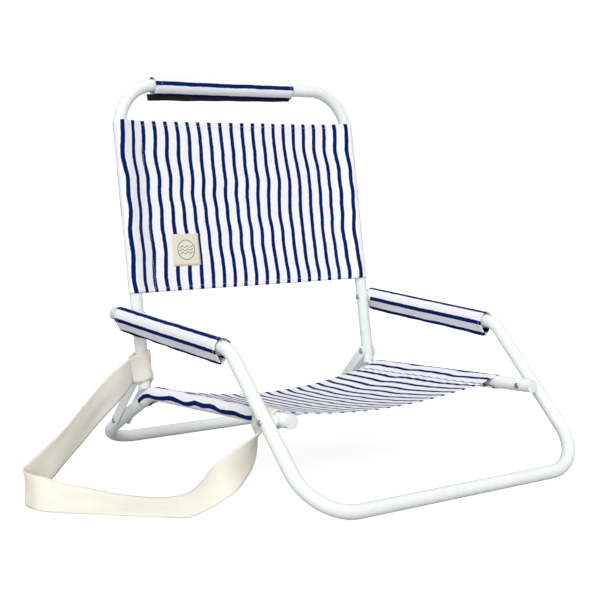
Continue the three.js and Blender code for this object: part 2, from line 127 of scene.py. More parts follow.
class Nodes:
    def __init__(self, name):
        self.material = bpy.data.materials.new(name)
        self.material.use_nodes = True
        self.tree = self.material.node_tree
        self.shader = self.tree.nodes["Principled BSDF"]

    def link(self, value, socket):
        if isinstance(value, bpy.types.NodeSocket):
            self.tree.links.new(value, socket)
        else:
            socket.default_value = value

    def math(self, operation, a, b=0.0, c=0.0):
        node = self.tree.nodes.new("ShaderNodeMath")
        node.operation = operation
        for value, socket in zip((a, b, c), node.inputs):
            self.link(value, socket)
        return node.outputs[0]

    def smooth(self, value, low, high):
        node = self.tree.nodes.new("ShaderNodeMapRange")
        node.interpolation_type = "SMOOTHSTEP"
        self.link(value, node.inputs["Value"])
        self.link(low, node.inputs["From Min"])
        self.link(high, node.inputs["From Max"])
        return node.outputs["Result"]

    def noise(self, vector, scale, detail=2.0):
        node = self.tree.nodes.new("ShaderNodeTexNoise")
        self.link(vector, node.inputs["Vector"])
        node.inputs["Scale"].default_value = scale
        node.inputs["Detail"].default_value = detail
        return node.outputs["Fac"]

    def mix(self, share, a, b):
        node = self.tree.nodes.new("ShaderNodeMix")
        node.data_type = "RGBA"
        self.link(share, node.inputs["Factor"])
        self.link(a, node.inputs[6])
        self.link(b, node.inputs[7])
        return node.outputs[2]

    def coordinates(self):
        return self.tree.nodes.new("ShaderNodeTexCoord").outputs["Object"]

    def uv(self):
        node = self.tree.nodes.new("ShaderNodeUVMap")
        node.uv_map = "cloth"
        split = self.tree.nodes.new("ShaderNodeSeparateXYZ")
        self.tree.links.new(node.outputs["UV"], split.inputs[0])
        return node.outputs["UV"], split.outputs["X"], split.outputs["Y"]

    def scaled(self, vector, scale):
        node = self.tree.nodes.new("ShaderNodeMapping")
        node.inputs["Scale"].default_value = scale
        self.link(vector, node.inputs["Vector"])
        return node.outputs["Vector"]

    def bump(self, height, distance, strength=1.0):
        node = self.tree.nodes.new("ShaderNodeBump")
        node.inputs["Strength"].default_value = strength
        node.inputs["Distance"].default_value = distance
        self.link(height, node.inputs["Height"])
        return node.outputs["Normal"]

    def set(self, **sockets):
        for name, value in sockets.items():
            self.link(value, self.shader.inputs[name.replace("_", " ")])

    # one over-and-under of crossing threads, from the cloth's own coordinates
    def weave(self, u, v, pitch):
        across = self.math("SINE", self.math("MULTIPLY", u, math.pi / pitch))
        along = self.math("SINE", self.math("MULTIPLY", v, math.pi / pitch))
        over = self.math("MULTIPLY", across, along)
        threads = self.math("ADD", self.math("ABSOLUTE", across), self.math("ABSOLUTE", along))
        return self.math("MULTIPLY_ADD", over, 0.5, threads)


def makePaint():
    look = {"colour": (0.835, 0.865, 0.850, 1), "shade": (0.805, 0.838, 0.824, 1),
            "peelScale": 700, "peelDepth": 0.00004}
    n = Nodes("whitePaint")
    place = n.coordinates()
    n.set(Base_Color=n.mix(n.noise(place, 22, 3), look["colour"], look["shade"]),
          Roughness=n.math("MULTIPLY_ADD", n.noise(place, 55, 4), 0.12, 0.20),
          Coat_Weight=0.35, Coat_Roughness=0.08,
          Normal=n.bump(n.noise(place, look["peelScale"], 1), look["peelDepth"], 0.5))
    return n.material


def makePlastic():
    n = Nodes("whitePlastic")
    place = n.coordinates()
    n.set(Base_Color=n.mix(n.noise(place, 90, 3), (0.83, 0.845, 0.82, 1), (0.79, 0.805, 0.78, 1)),
          Roughness=n.math("MULTIPLY_ADD", n.noise(place, 160, 3), 0.15, 0.33),
          Subsurface_Weight=0.06, Subsurface_Scale=0.004,
          Normal=n.bump(n.noise(place, 1500, 2), 0.00003, 0.4))
    n.shader.inputs["Subsurface Radius"].default_value = (1.0, 0.9, 0.8)
    return n.material


def makeZinc():
    n = Nodes("rivetZinc")
    place = n.coordinates()
    n.set(Base_Color=n.mix(n.noise(place, 400, 4), (0.62, 0.64, 0.64, 1), (0.42, 0.44, 0.44, 1)),
          Roughness=n.math("MULTIPLY_ADD", n.noise(place, 900, 4), 0.16, 0.08),
          Metallic=1.0, Normal=n.bump(n.noise(place, 2200, 3), 0.00003, 0.5))
    return n.material


# stripes run along the cloth's second coordinate
stripes = {"pitch": 0.0237, "width": 0.0078, "edge": 0.0004, "thread": 0.00055,
           "fray": 0.0016, "pin": 0.0031, "pinShare": 0.45,
           "white": (0.900, 0.903, 0.930, 1), "paleBand": (0.715, 0.720, 0.800, 1),
           "navy": (0.0012, 0.021, 0.165, 1), "deepNavy": (0.0008, 0.003, 0.075, 1)}


def makeCanvas(name, phase, wander, stretch):
    n = Nodes(name)
    uv, u, v = n.uv()
    # the slow wander is shared by neighbouring stripes; the quick one frays their edges
    slow = n.math("SUBTRACT", n.noise(n.scaled(uv, (stretch[0], stretch[1], 1)), 1.0, 1), 0.5)
    quick = n.math("SUBTRACT", n.noise(n.scaled(uv, (120, 95, 1)), 1.0, 2), 0.5)
    sway = n.math("ADD", n.math("MULTIPLY", slow, wander), n.math("MULTIPLY", quick, stripes["fray"]))
    shifted = n.math("ADD", u, sway)
    turns = n.math("DIVIDE", n.math("SUBTRACT", shifted, phase), stripes["pitch"])
    offset = n.math("ABSOLUTE", n.math("SUBTRACT", n.math("FRACT", n.math("ADD", turns, 0.5)), 0.5))
    distance = n.math("MULTIPLY", offset, stripes["pitch"])
    half = stripes["width"] / 2
    white = n.smooth(distance, half - stripes["edge"], half + stripes["edge"])
    pins = n.math("SINE", n.math("MULTIPLY", distance, 2 * math.pi / stripes["pin"]))
    band = n.math("MULTIPLY", n.smooth(pins, 0.0, 1.0), stripes["pinShare"])
    ground = n.mix(band, stripes["white"], stripes["paleBand"])
    ink = n.mix(n.noise(n.scaled(uv, (900, 60, 1)), 1.0, 2), stripes["deepNavy"], stripes["navy"])
    threads = n.weave(u, v, stripes["thread"])
    slub = n.noise(n.scaled(uv, (260, 1900, 1)), 1.0, 2)
    height = n.math("MULTIPLY_ADD", slub, 0.6, threads)
    n.set(Base_Color=n.mix(white, ink, ground), Roughness=0.92, Specular_IOR_Level=0.07,
          Normal=n.bump(height, 0.00012, 0.55))
    return n.material


def makeWebbing():
    n = Nodes("creamWebbing")
    uv, u, v = n.uv()
    blotch = n.noise(n.scaled(uv, (28, 9, 1)), 1.0, 3)
    ground = n.mix(n.smooth(blotch, 0.42, 0.78), (0.860, 0.830, 0.715, 1), (0.810, 0.770, 0.640, 1))
    fleck = n.smooth(n.noise(n.scaled(uv, (900, 650, 1)), 1.0, 2), 0.66, 0.76)
    threads = n.weave(u, v, 0.0010)
    n.set(Base_Color=n.mix(n.math("MULTIPLY", fleck, 0.30), ground, (0.60, 0.52, 0.38, 1)), Roughness=0.92,
          Sheen_Weight=0.2, Sheen_Roughness=0.6, Specular_IOR_Level=0.2, Normal=n.bump(threads, 0.00022, 0.6))
    return n.material


def makeFoam():
    n = Nodes("tanFoam")
    place = n.coordinates()
    pores = n.noise(place, 900, 4)
    n.set(Base_Color=n.mix(pores, (0.42, 0.28, 0.16, 1), (0.68, 0.52, 0.34, 1)), Roughness=0.97,
          Specular_IOR_Level=0.15, Normal=n.bump(pores, 0.0005, 0.8))
    return n.material


def makeTape():
    n = Nodes("hookAndLoop")
    place = n.coordinates()
    hooks = n.noise(place, 1300, 3)
    n.set(Base_Color=n.mix(n.smooth(hooks, 0.62, 0.74), (0.006, 0.006, 0.009, 1), (0.13, 0.13, 0.14, 1)),
          Roughness=0.95, Specular_IOR_Level=0.2, Normal=n.bump(hooks, 0.0006, 0.9))
    return n.material


# a plain ring with three waves in it, printed in the middle of the patch
patch = {"width": 0.056, "height": 0.057, "thickness": 0.0008, "x": -0.1402, "along": 0.1089,
         "ring": 0.0175, "line": 0.0007, "waveDrop": 0.0055, "waveHeight": 0.0014, "waveLength": 0.0105}


def makePatch():
    n = Nodes("creamPatch")
    uv, u, v = n.uv()
    radius = n.math("SQRT", n.math("ADD", n.math("MULTIPLY", u, u), n.math("MULTIPLY", v, v)))
    line = patch["line"]

    def near(distance, half):
        return n.math("SUBTRACT", 1.0, n.smooth(distance, half * 0.7, half * 1.3))

    ring = near(n.math("ABSOLUTE", n.math("SUBTRACT", radius, patch["ring"])), line)
    ripple = n.math("MULTIPLY", n.math("SINE", n.math("MULTIPLY", u, 2 * math.pi / patch["waveLength"])),
                    patch["waveHeight"])
    waves = 0.0
    for row in (-1, 0, 1):
        height = n.math("ADD", ripple, row * patch["waveDrop"])
        waves = n.math("MAXIMUM", waves, near(n.math("ABSOLUTE", n.math("SUBTRACT", v, height)), line * 0.9))
    inside = n.math("LESS_THAN", radius, patch["ring"] * 0.84)
    ink = n.math("MAXIMUM", ring, n.math("MULTIPLY", waves, inside))
    weft = n.noise(n.scaled(uv, (220, 220, 1)), 1.0, 3)
    ground = n.mix(weft, (0.80, 0.765, 0.640, 1), (0.74, 0.70, 0.565, 1))
    n.set(Base_Color=n.mix(n.math("MULTIPLY", ink, 0.88), ground, (0.045, 0.048, 0.052, 1)), Roughness=0.9,
          Specular_IOR_Level=0.2, Normal=n.bump(n.weave(u, v, 0.00045), 0.0001, 0.5))
    return n.material


def makeThread(name, light, dark):
    n = Nodes(name)
    n.set(Base_Color=n.mix(n.noise(n.coordinates(), 2500, 2), light, dark), Roughness=0.75,
          Sheen_Weight=0.2, Normal=n.bump(n.noise(n.coordinates(), 4000, 2), 0.00005, 0.6))
    return n.material


whitePaint = makePaint()
whitePlastic = makePlastic()
rivetZinc = makeZinc()
backCanvas = makeCanvas("backCanvas", 0.0054, 0.026, (2.2, 11.0))
seatCanvas = makeCanvas("seatCanvas", 0.0010, 0.026, (2.0, 13.0))
sleeveCanvas = makeCanvas("sleeveCanvas", 0.0, 0.004, (3.0, 11.0))
creamWebbing = makeWebbing()
tanFoam = makeFoam()
hookAndLoop = makeTape()
creamPatch = makePatch()
whiteThread = makeThread("whiteThread", (0.80, 0.80, 0.84, 1), (0.62, 0.62, 0.68, 1))
tanThread = makeThread("tanThread", (0.62, 0.40, 0.20, 1), (0.48, 0.29, 0.13, 1))
print("materials made")

# mesh helpers


def newPiece(name, points, faces, material, uv=None):
    mesh = bpy.data.meshes.new(name)
    mesh.from_pydata([tuple(map(float, p)) for p in points], [], faces)
    if uv is not None:
        layer = mesh.uv_layers.new(name="cloth")
        index = np.empty(len(mesh.loops), np.int32)
        mesh.loops.foreach_get("vertex_index", index)
        layer.data.foreach_set("uv", np.asarray(uv, np.float32)[index].ravel())
    mesh.materials.append(material)
    mesh.validate()
    mesh.shade_smooth()
    obj = bpy.data.objects.new(name, mesh)
    bpy.context.scene.collection.objects.link(obj)
    return obj


def keepPlain(obj):
    # the evaluated mesh takes the place of the mesh and its modifiers
    graph = bpy.context.evaluated_depsgraph_get()
    mesh = bpy.data.meshes.new_from_object(obj.evaluated_get(graph))
    obj.modifiers.clear()
    obj.data = mesh
    return obj


def attach(obj, body, slot, *nodes):
    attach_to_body(obj, body)
    if nodes:
        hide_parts(*nodes)
    return obj


def roundedPath(corners, radii, steps=tube["bendSteps"]):
    corners = [np.array(c, float) for c in corners]
    path = [corners[0]]
    for k, radius in enumerate(radii):
        corner = corners[k + 1]
        back = corners[k] - corner
        ahead = corners[k + 2] - corner
        back, ahead = back / np.linalg.norm(back), ahead / np.linalg.norm(ahead)
        half = math.acos(np.clip(back @ ahead, -1, 1)) / 2
        turn = math.pi - 2 * half
        middle = (back + ahead) / np.linalg.norm(back + ahead)
        centre = corner + middle * radius / math.sin(half)
        first = corner + back * radius / math.tan(half) - centre
        last = corner + ahead * radius / math.tan(half) - centre
        for i in range(steps + 1):
            share = i / steps
            swung = first * math.sin((1 - share) * turn) + last * math.sin(share * turn)
            path.append(centre + swung / math.sin(turn))
    path.append(corners[-1])
    return np.array(path)


def tangentsOf(path):
    tangents = np.gradient(path, axis=0)
    return tangents / np.linalg.norm(tangents, axis=1)[:, None]


def pathFrames(path, start):
    # one cross direction carried along the path with no twist
    tangents = tangentsOf(path)
    normals = [np.array(start, float)]
    for tangent in tangents:
        n = normals[-1] - (normals[-1] @ tangent) * tangent
        normals.append(n / np.linalg.norm(n))
    normals = np.array(normals[1:])
    return normals, np.cross(tangents, normals)


def closedSweep(name, path, radius, start, material, sides):
    # a solid rod along a path, with flat ends
    normals, sideways = pathFrames(path, start)
    angles = np.arange(sides) * 2 * math.pi / sides
    points = []
    for place, n, b in zip(path, normals, sideways):
        points.extend(place + radius * (math.cos(a) * n + math.sin(a) * b) for a in angles)
    faces = []
    for i in range(len(path) - 1):
        for j in range(sides):
            k = (j + 1) % sides
            faces.append((i * sides + j, i * sides + k, (i + 1) * sides + k, (i + 1) * sides + j))
    points.extend([path[0], path[-1]])
    first, last, base = len(points) - 2, len(points) - 1, (len(path) - 1) * sides
    for j in range(sides):
        k = (j + 1) % sides
        faces.append((first, k, j))
        faces.append((last, base + j, base + k))
    return newPiece(name, points, faces, material)


def lathePiece(name, profile, origin, axis, material, sides=32):
    # profile points are (radius, distance along the axis), from one end of the axis to the other
    axis = Vector(axis).normalized()
    turn = Vector((0, 0, 1)).rotation_difference(axis)
    points, faces = [], []
    rings = []
    for radius, out in profile:
        if radius < 1e-7:
            rings.append([len(points)])
            points.append(Vector(origin) + turn @ Vector((0, 0, out)))
        else:
            rings.append(list(range(len(points), len(points) + sides)))
            for j in range(sides):
                a = 2 * math.pi * j / sides
                rim = Vector((radius * math.cos(a), radius * math.sin(a), out))
                points.append(Vector(origin) + turn @ rim)
    for low, high in zip(rings, rings[1:]):
        for j in range(sides):
            k = (j + 1) % sides
            if len(low) == 1:
                faces.append((low[0], high[k], high[j]))
            elif len(high) == 1:
                faces.append((low[j], low[k], high[0]))
            else:
                faces.append((low[j], low[k], high[k], high[j]))
    return newPiece(name, points, faces, material)


def clothPiece(name, middle, uv, thickness, material):
    # a closed sheet either side of a grid of points, [rows, columns, 3]
    rows, columns, _ = middle.shape
    down, across = np.gradient(middle, axis=0), np.gradient(middle, axis=1)
    normals = np.cross(across, down)
    normals /= np.linalg.norm(normals, axis=2)[:, :, None] + 1e-12
    half = np.broadcast_to(np.asarray(thickness, float), (rows, columns))[:, :, None] / 2
    upper, lower = middle + normals * half, middle - normals * half
    points = np.concatenate([upper.reshape(-1, 3), lower.reshape(-1, 3)])
    size = rows * columns
    faces = []
    for i in range(rows - 1):
        for j in range(columns - 1):
            a, b = i * columns + j, i * columns + j + 1
            c, d = b + columns, a + columns
            faces.append((a, b, c, d))
            faces.append((size + a, size + d, size + c, size + b))
    rim = ([j for j in range(columns)] + [i * columns + columns - 1 for i in range(1, rows)]
           + [(rows - 1) * columns + j for j in range(columns - 2, -1, -1)]
           + [i * columns for i in range(rows - 2, 0, -1)])
    for a, b in zip(rim, rim[1:] + rim[:1]):
        faces.append((a, size + a, size + b, b))
    return newPiece(name, points, faces, material, np.concatenate([uv.reshape(-1, 2)] * 2))


def resample(profile, step):
    profile = np.array(profile, float)
    lengths = np.concatenate([[0], np.cumsum(np.linalg.norm(np.diff(profile, axis=0), axis=1))])
    count = max(2, int(math.ceil(lengths[-1] / step)) + 1)
    at = np.linspace(0, lengths[-1], count)
    return np.stack([np.interp(at, lengths, profile[:, i]) for i in range(profile.shape[1])], 1), at


def ripples(x, y, seed, scale):
    # a smooth repeatable unevenness between about -1 and 1
    draw = np.random.default_rng(seed)
    total = np.zeros(np.broadcast(x, y).shape)
    for _ in range(7):
        a, b = draw.uniform(-1, 1, 2) * 2 * math.pi / scale
        total = total + np.sin(a * x + b * y + draw.uniform(0, 2 * math.pi))
    return total / 4


# geometry nodes: rivet heads and stitches


def treeWith(name, inputs):
    tree = bpy.data.node_groups.new(name, "GeometryNodeTree")
    tree.interface.new_socket("Geometry", in_out="INPUT", socket_type="NodeSocketGeometry")
    for label, kind, value in inputs:
        socket = tree.interface.new_socket(label, in_out="INPUT", socket_type=kind)
        if value is not None:
            socket.default_value = value
    tree.interface.new_socket("Geometry", in_out="OUTPUT", socket_type="NodeSocketGeometry")
    return tree, tree.nodes.new("NodeGroupInput"), tree.nodes.new("NodeGroupOutput")


def setInputs(modifier, **values):
    for item in modifier.node_group.interface.items_tree:
        if item.in_out == "INPUT" and item.name in values:
            modifier[item.identifier] = values[item.name]


def makeStitchTree():
    tree, given, result = treeWith("stitchRow", [
        ("Pitch", "NodeSocketFloat", 0.0035), ("Length", "NodeSocketFloat", 0.0026),
        ("Thread", "NodeSocketFloat", 0.0004), ("Jitter", "NodeSocketFloat", 0.12),
        ("Seed", "NodeSocketInt", 3), ("Material", "NodeSocketMaterial", None)])
    make, join = tree.nodes.new, tree.links.new
    curve = make("GeometryNodeMeshToCurve")
    spread = make("GeometryNodeResampleCurve")
    spread.mode = "LENGTH"
    thread = make("GeometryNodeMeshUVSphere")
    thread.inputs["Segments"].default_value = 6
    thread.inputs["Rings"].default_value = 4
    thread.inputs["Radius"].default_value = 0.5
    onPoints = make("GeometryNodeInstanceOnPoints")
    tangent = make("GeometryNodeInputTangent")
    turn = make("FunctionNodeAlignRotationToVector")
    turn.axis = "X"
    size = make("ShaderNodeCombineXYZ")
    uneven = make("FunctionNodeRandomValue")
    uneven.data_type = "FLOAT"
    low, high = make("ShaderNodeMath"), make("ShaderNodeMath")
    low.operation, high.operation = "SUBTRACT", "ADD"
    stretch = make("ShaderNodeMath")
    stretch.operation = "MULTIPLY"
    real, paint = make("GeometryNodeRealizeInstances"), make("GeometryNodeSetMaterial")
    join(given.outputs["Geometry"], curve.inputs["Mesh"])
    join(curve.outputs["Curve"], spread.inputs["Curve"])
    join(given.outputs["Pitch"], spread.inputs["Length"])
    join(spread.outputs["Curve"], onPoints.inputs["Points"])
    join(thread.outputs["Mesh"], onPoints.inputs["Instance"])
    join(tangent.outputs["Tangent"], turn.inputs["Vector"])
    join(turn.outputs["Rotation"], onPoints.inputs["Rotation"])
    low.inputs[0].default_value = high.inputs[0].default_value = 1.0
    join(given.outputs["Jitter"], low.inputs[1])
    join(given.outputs["Jitter"], high.inputs[1])
    join(low.outputs[0], uneven.inputs[2])
    join(high.outputs[0], uneven.inputs[3])
    join(given.outputs["Seed"], uneven.inputs["Seed"])
    join(given.outputs["Length"], stretch.inputs[0])
    join(uneven.outputs[1], stretch.inputs[1])
    join(stretch.outputs[0], size.inputs["X"])
    join(given.outputs["Thread"], size.inputs["Y"])
    join(given.outputs["Thread"], size.inputs["Z"])
    join(size.outputs[0], onPoints.inputs["Scale"])
    join(onPoints.outputs["Instances"], real.inputs["Geometry"])
    join(real.outputs["Geometry"], paint.inputs["Geometry"])
    join(given.outputs["Material"], paint.inputs["Material"])
    join(paint.outputs["Geometry"], result.inputs[0])
    return tree


def makeRivetTree():
    tree, given, result = treeWith("rivetHeads", [
        ("Head", "NodeSocketObject", None), ("Material", "NodeSocketMaterial", None)])
    make, join = tree.nodes.new, tree.links.new
    head = make("GeometryNodeObjectInfo")
    onPoints = make("GeometryNodeInstanceOnPoints")
    facing = make("GeometryNodeInputNamedAttribute")
    facing.data_type = "FLOAT_VECTOR"
    facing.inputs["Name"].default_value = "facing"
    turn = make("FunctionNodeAlignRotationToVector")
    turn.axis = "Z"
    real, paint = make("GeometryNodeRealizeInstances"), make("GeometryNodeSetMaterial")
    join(given.outputs["Geometry"], onPoints.inputs["Points"])
    join(given.outputs["Head"], head.inputs["Object"])
    join(head.outputs["Geometry"], onPoints.inputs["Instance"])
    join(facing.outputs["Attribute"], turn.inputs["Vector"])
    join(turn.outputs["Rotation"], onPoints.inputs["Rotation"])
    join(onPoints.outputs["Instances"], real.inputs["Geometry"])
    join(real.outputs["Geometry"], paint.inputs["Geometry"])
    join(given.outputs["Material"], paint.inputs["Material"])
    join(paint.outputs["Geometry"], result.inputs[0])
    return tree


stitchTree = makeStitchTree()
rivetTree = makeRivetTree()


def stitchPiece(name, lines, material, pitch=0.0035, length=0.0026, thread=0.00045):
    points, edges = [], []
    for line in lines:
        base = len(points)
        points.extend(tuple(map(float, p)) for p in line)
        edges.extend((base + i, base + i + 1) for i in range(len(line) - 1))
    mesh = bpy.data.meshes.new(name)
    mesh.from_pydata(points, edges, [])
    obj = bpy.data.objects.new(name, mesh)
    bpy.context.scene.collection.objects.link(obj)
    modifier = obj.modifiers.new("stitches", "NODES")
    modifier.node_group = stitchTree
    setInputs(modifier, Pitch=pitch, Length=length, Thread=thread, Jitter=0.12, Seed=3, Material=material)
    keepPlain(obj)
    obj.data.shade_smooth()
    return obj


# carry strap: one flat cotton web between its two sewn loops

strap = {"width": 0.050, "thickness": 0.0018, "step": 0.004, "columns": 13}
strapRoute = [
    ((-278, 159, 170), (-0.30, -0.35, 0.88)), ((-296, 152, 158), (-0.42, -0.25, 0.86)),
    ((-318, 145, 144), (-0.50, -0.12, 0.86)), ((-352, 132, 123), (-0.48, -0.16, 0.86)),
    ((-385, 118, 102), (-0.46, -0.22, 0.86)), ((-417, 103, 81), (-0.46, -0.22, 0.86)),
    ((-450, 89, 61), (-0.46, -0.16, 0.87)), ((-483, 74, 43), (-0.45, -0.04, 0.89)),
    ((-505, 62, 33), (-0.36, 0.06, 0.93)), ((-522, 50, 28), (-0.20, 0.10, 0.97)),
    ((-533, 35, 26), (0.03, 0.10, 0.99)), ((-538, 18, 26), (0.11, 0.08, 0.99)),
    ((-538, 0, 26), (0.14, 0.11, 0.98)), ((-535, -16, 26), (0.28, 0.22, 0.93)),
    ((-526, -31, 23.5), (0.45, 0.36, 0.81)), ((-512, -44, 20.5), (0.55, 0.47, 0.69)),
    ((-488, -66, 17), (0.61, 0.53, 0.58)), ((-462, -91, 13), (0.67, 0.60, 0.43)),
    ((-436, -118, 10.5), (0.70, 0.63, 0.33)), ((-411, -146, 10.5), (0.71, 0.62, 0.33)),
    ((-390, -173, 13), (0.65, 0.61, 0.44)), ((-376, -194, 19), (0.48, 0.64, 0.60)),
    ((-362, -213, 33), (0.25, 0.68, 0.69)), ((-346, -226, 50), (0.02, 0.52, 0.85)),
    ((-326, -229, 65), (-0.25, 0.20, 0.95)), ((-303, -225, 78), (-0.50, -0.18, 0.85)),
    ((-284, -220, 92), (-0.60, -0.55, 0.58)), ((-272, -216, 107), (-0.45, -0.82, 0.35)),
    ((-266, -214, 121), (-0.10, -0.99, 0.08)),
]


def smoothThrough(stations, per=8):
    stations = np.array(stations, float)
    padded = np.vstack([2 * stations[0] - stations[1], stations, 2 * stations[-1] - stations[-2]])
    out = []
    for i in range(1, len(padded) - 2):
        a, b, c, d = padded[i - 1:i + 3]
        for t in np.arange(per) / per:
            curved = (2 * a - 5 * b + 4 * c - d) * t ** 2 + (3 * b - a - 3 * c + d) * t ** 3
            out.append(0.5 * (2 * b + (c - a) * t + curved))
    out.append(stations[-1])
    return np.array(out)


def makeStrap():
    both = smoothThrough([np.concatenate([np.array(p) / 1000, w]) for p, w in strapRoute])
    lengths = np.concatenate([[0], np.cumsum(np.linalg.norm(np.diff(both[:, :3], axis=0), axis=1))])
    at = np.linspace(0, lengths[-1], int(lengths[-1] / strap["step"]) + 1)
    line = np.stack([np.interp(at, lengths, both[:, i]) for i in range(6)], 1)
    centre, width = line[:, :3], line[:, 3:]
    tangents = tangentsOf(centre)
    width = width - (width * tangents).sum(1)[:, None] * tangents
    width /= np.linalg.norm(width, axis=1)[:, None]
    cross = np.cross(tangents, width)
    u = np.linspace(-0.5, 0.5, strap["columns"]) * strap["width"]
    bow = 0.0009 * ripples(at[:, None], u[None, :] * 3, 5, 0.09)
    grid = centre[:, None] + width[:, None] * u[None, :, None] + cross[:, None] * bow[:, :, None]
    grid[:, :, 2] = np.maximum(grid[:, :, 2], strap["thickness"] / 2 + 0.0004)
    uv = np.stack(np.broadcast_arrays(u[None, :], at[:, None]), 2)
    edge = np.abs(u) > 0.46 * strap["width"]
    thickness = np.where(edge, 0.7, 1.0)[None, :] * strap["thickness"]
    piece = clothPiece("carryStrap", grid, uv, thickness, creamWebbing)
    return piece, centre, float(at[-1])


def loopOutline(loop):
    # once round the tube and out to both plies of the tail, as (x, out) from the tube's middle
    across, deep = loop["across"], loop["deep"]
    tailX, tailOut = loop["tail"]
    towards = math.atan2(tailOut / deep, tailX / across)
    spread = math.acos(1 / math.hypot(tailX / across, tailOut / deep))
    ring = [(across * math.cos(a), deep * math.sin(a))
            for a in np.linspace(towards + spread, towards + 2 * math.pi - spread, 40)]
    length = math.hypot(tailX, tailOut)
    side = (-tailOut / length * loop["plyGap"], tailX / length * loop["plyGap"])
    return [(tailX + side[0], tailOut + side[1])] + ring + [(tailX - side[0], tailOut - side[1])]


def makeLoop(name, loop, place, along, body, node):
    # the web's end goes round the tube and is sewn back onto itself
    outline, at = resample(loopOutline(loop), 0.0016)
    tail = np.array(loop["tail"])
    reach = np.linalg.norm(tail) + loop["across"]
    rows = np.linspace(-0.5, 0.5, 11)
    lean, along = np.array(loop["lean"]), np.array(along)
    grid = np.zeros((len(rows), len(outline), 3))
    for j, (x, out) in enumerate(outline):
        share = min(1.0, np.linalg.norm(np.array([x, out]) - tail) / reach)
        turned = (1 - share) ** 2.5  # the web lies flat on the tube and leans only towards its tail
        width = turned * lean + (1 - turned) * along
        width = width / np.linalg.norm(width)
        slide = (1 - share) * loop["tailAt"] + share * loop["farAt"]
        for i, row in enumerate(rows):
            bow = 0.0007 * float(ripples(np.array(at[j]), np.array(row * strap["width"]), loop["seed"], 0.05))
            grid[i, j] = place(x * (1 + bow / loop["across"]), slide, out) + row * strap["width"] * width
    uv = np.stack(np.broadcast_arrays((rows * strap["width"])[:, None], at[None, :]), 2)
    piece = clothPiece(name, grid, uv, strap["thickness"], creamWebbing)
    attach(piece, body, "cotton_webbing", node)
    seam = []
    for inset in loop["seams"]:
        j = int(np.searchsorted(at, inset))
        normal = np.cross(grid[6, j + 1] - grid[6, j], grid[6, j] - grid[5, j])
        normal *= (strap["thickness"] / 2 + 0.0003) / np.linalg.norm(normal)
        for face in (-1, 1):
            seam.append([point + face * normal for point in grid[:, j]])
    attach(stitchPiece(name + "Seam", seam, tanThread, 0.0034, 0.0027, 0.0007), body, "cotton_webbing")
    return piece


upAxis = np.array([0, sideView["headBar"][0] - armPivot[0], sideView["headBar"][1] - armPivot[1]])
headAlong = float(np.linalg.norm(upAxis))
upAxis = upAxis / headAlong
forward = np.array([0, -upAxis[2], upAxis[1]])


def onBack(x, along, out=0.0):
    point = np.array([0, armPivot[0], armPivot[1]]) + along * upAxis + out * forward
    point[0] = x
    return point


railStart = np.array([0, *sideView["railEnd"]])
railTurn = np.array([0, *sideView["seatBend"]])


def onRail(x, y):
    point = railStart + (railTurn - railStart) * (y - railStart[1]) / (railTurn[1] - railStart[1])
    point[0] = x
    return point


strapPiece, strapLine, strapLength = makeStrap()
railAxis = (railTurn - railStart) / np.linalg.norm(railTurn - railStart)
railUp = np.array([0, -railAxis[2], railAxis[1]])
# the rear loop lies over the link's upper pivot; the front one hangs on the seat rail
rearLoopShape = {"across": 0.0145, "deep": 0.0132, "tail": (-0.0325, 0.0142), "tailAt": -0.0960,
                 "farAt": -0.0870, "lean": (-0.30, -0.35, 0.88), "plyGap": 0.0020,
                 "seams": (0.0035, 0.0058), "seed": 71}
frontLoopShape = {"across": 0.0128, "deep": 0.0134, "tail": (-0.0172, -0.0160), "tailAt": -0.2140,
                  "farAt": -0.2120, "lean": (0.10, 0.99, -0.08), "plyGap": 0.0020,
                  "seams": (0.0035, 0.0058), "seed": 73}


def onLeftUpright(x, at, out):
    return onBack(x - halfBack, at, out)


def onLeftRail(x, at, out):
    return onRail(x - halfSeat, at) + out * railUp


rearLoop = makeLoop("strapRearLoop", rearLoopShape, onLeftUpright, upAxis, "back_frame",
                    "carry_strap_rear_loop")
frontLoop = makeLoop("strapFrontLoop", frontLoopShape, onLeftRail, railAxis, "seat_frame",
                     "carry_strap_front_loop")
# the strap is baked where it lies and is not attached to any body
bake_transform(strapPiece)
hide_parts("carry_strap")
print("strap made, free length %.3f m" % strapLength)

# the three bent tubes


def sidePath(x, keys):
    return [np.array([x, *sideView[k]]) for k in keys]


def makeTube(name, half, keys, body, node):
    # along one side of the chair, across, and back along the other
    corners = sidePath(-half, keys) + sidePath(half, keys[::-1])
    turns = [bends[key] for key in keys[1:]]
    path = roundedPath(corners, turns + turns[::-1])
    piece = closedSweep(name, path, tube["radius"], (1.0, 0, 0.001), whitePaint, tube["roundSides"])
    edges = piece.modifiers.new("ends", "BEVEL")
    edges.width, edges.segments, edges.limit_method, edges.angle_limit = 0.0005, 2, "ANGLE", math.radians(60)
    keepPlain(piece)
    attach(piece, body, "white_powder_coat", node)


makeTube("frontTube", halfFront, ("armEnd", "armCorner", "frontBar"), "front_frame", "front_frame_tube")
makeTube("seatTube", halfSeat, ("railEnd", "seatBend", "rearBar"), "seat_frame", "seat_frame_tube")
makeTube("backTube", halfBack, ("uprightEnd", "headBar"), "back_frame", "back_frame_tube")
print("tubes made")

# end caps

cap = {"radius": 0.0113, "thickness": 0.0030, "groove": 0.0004}


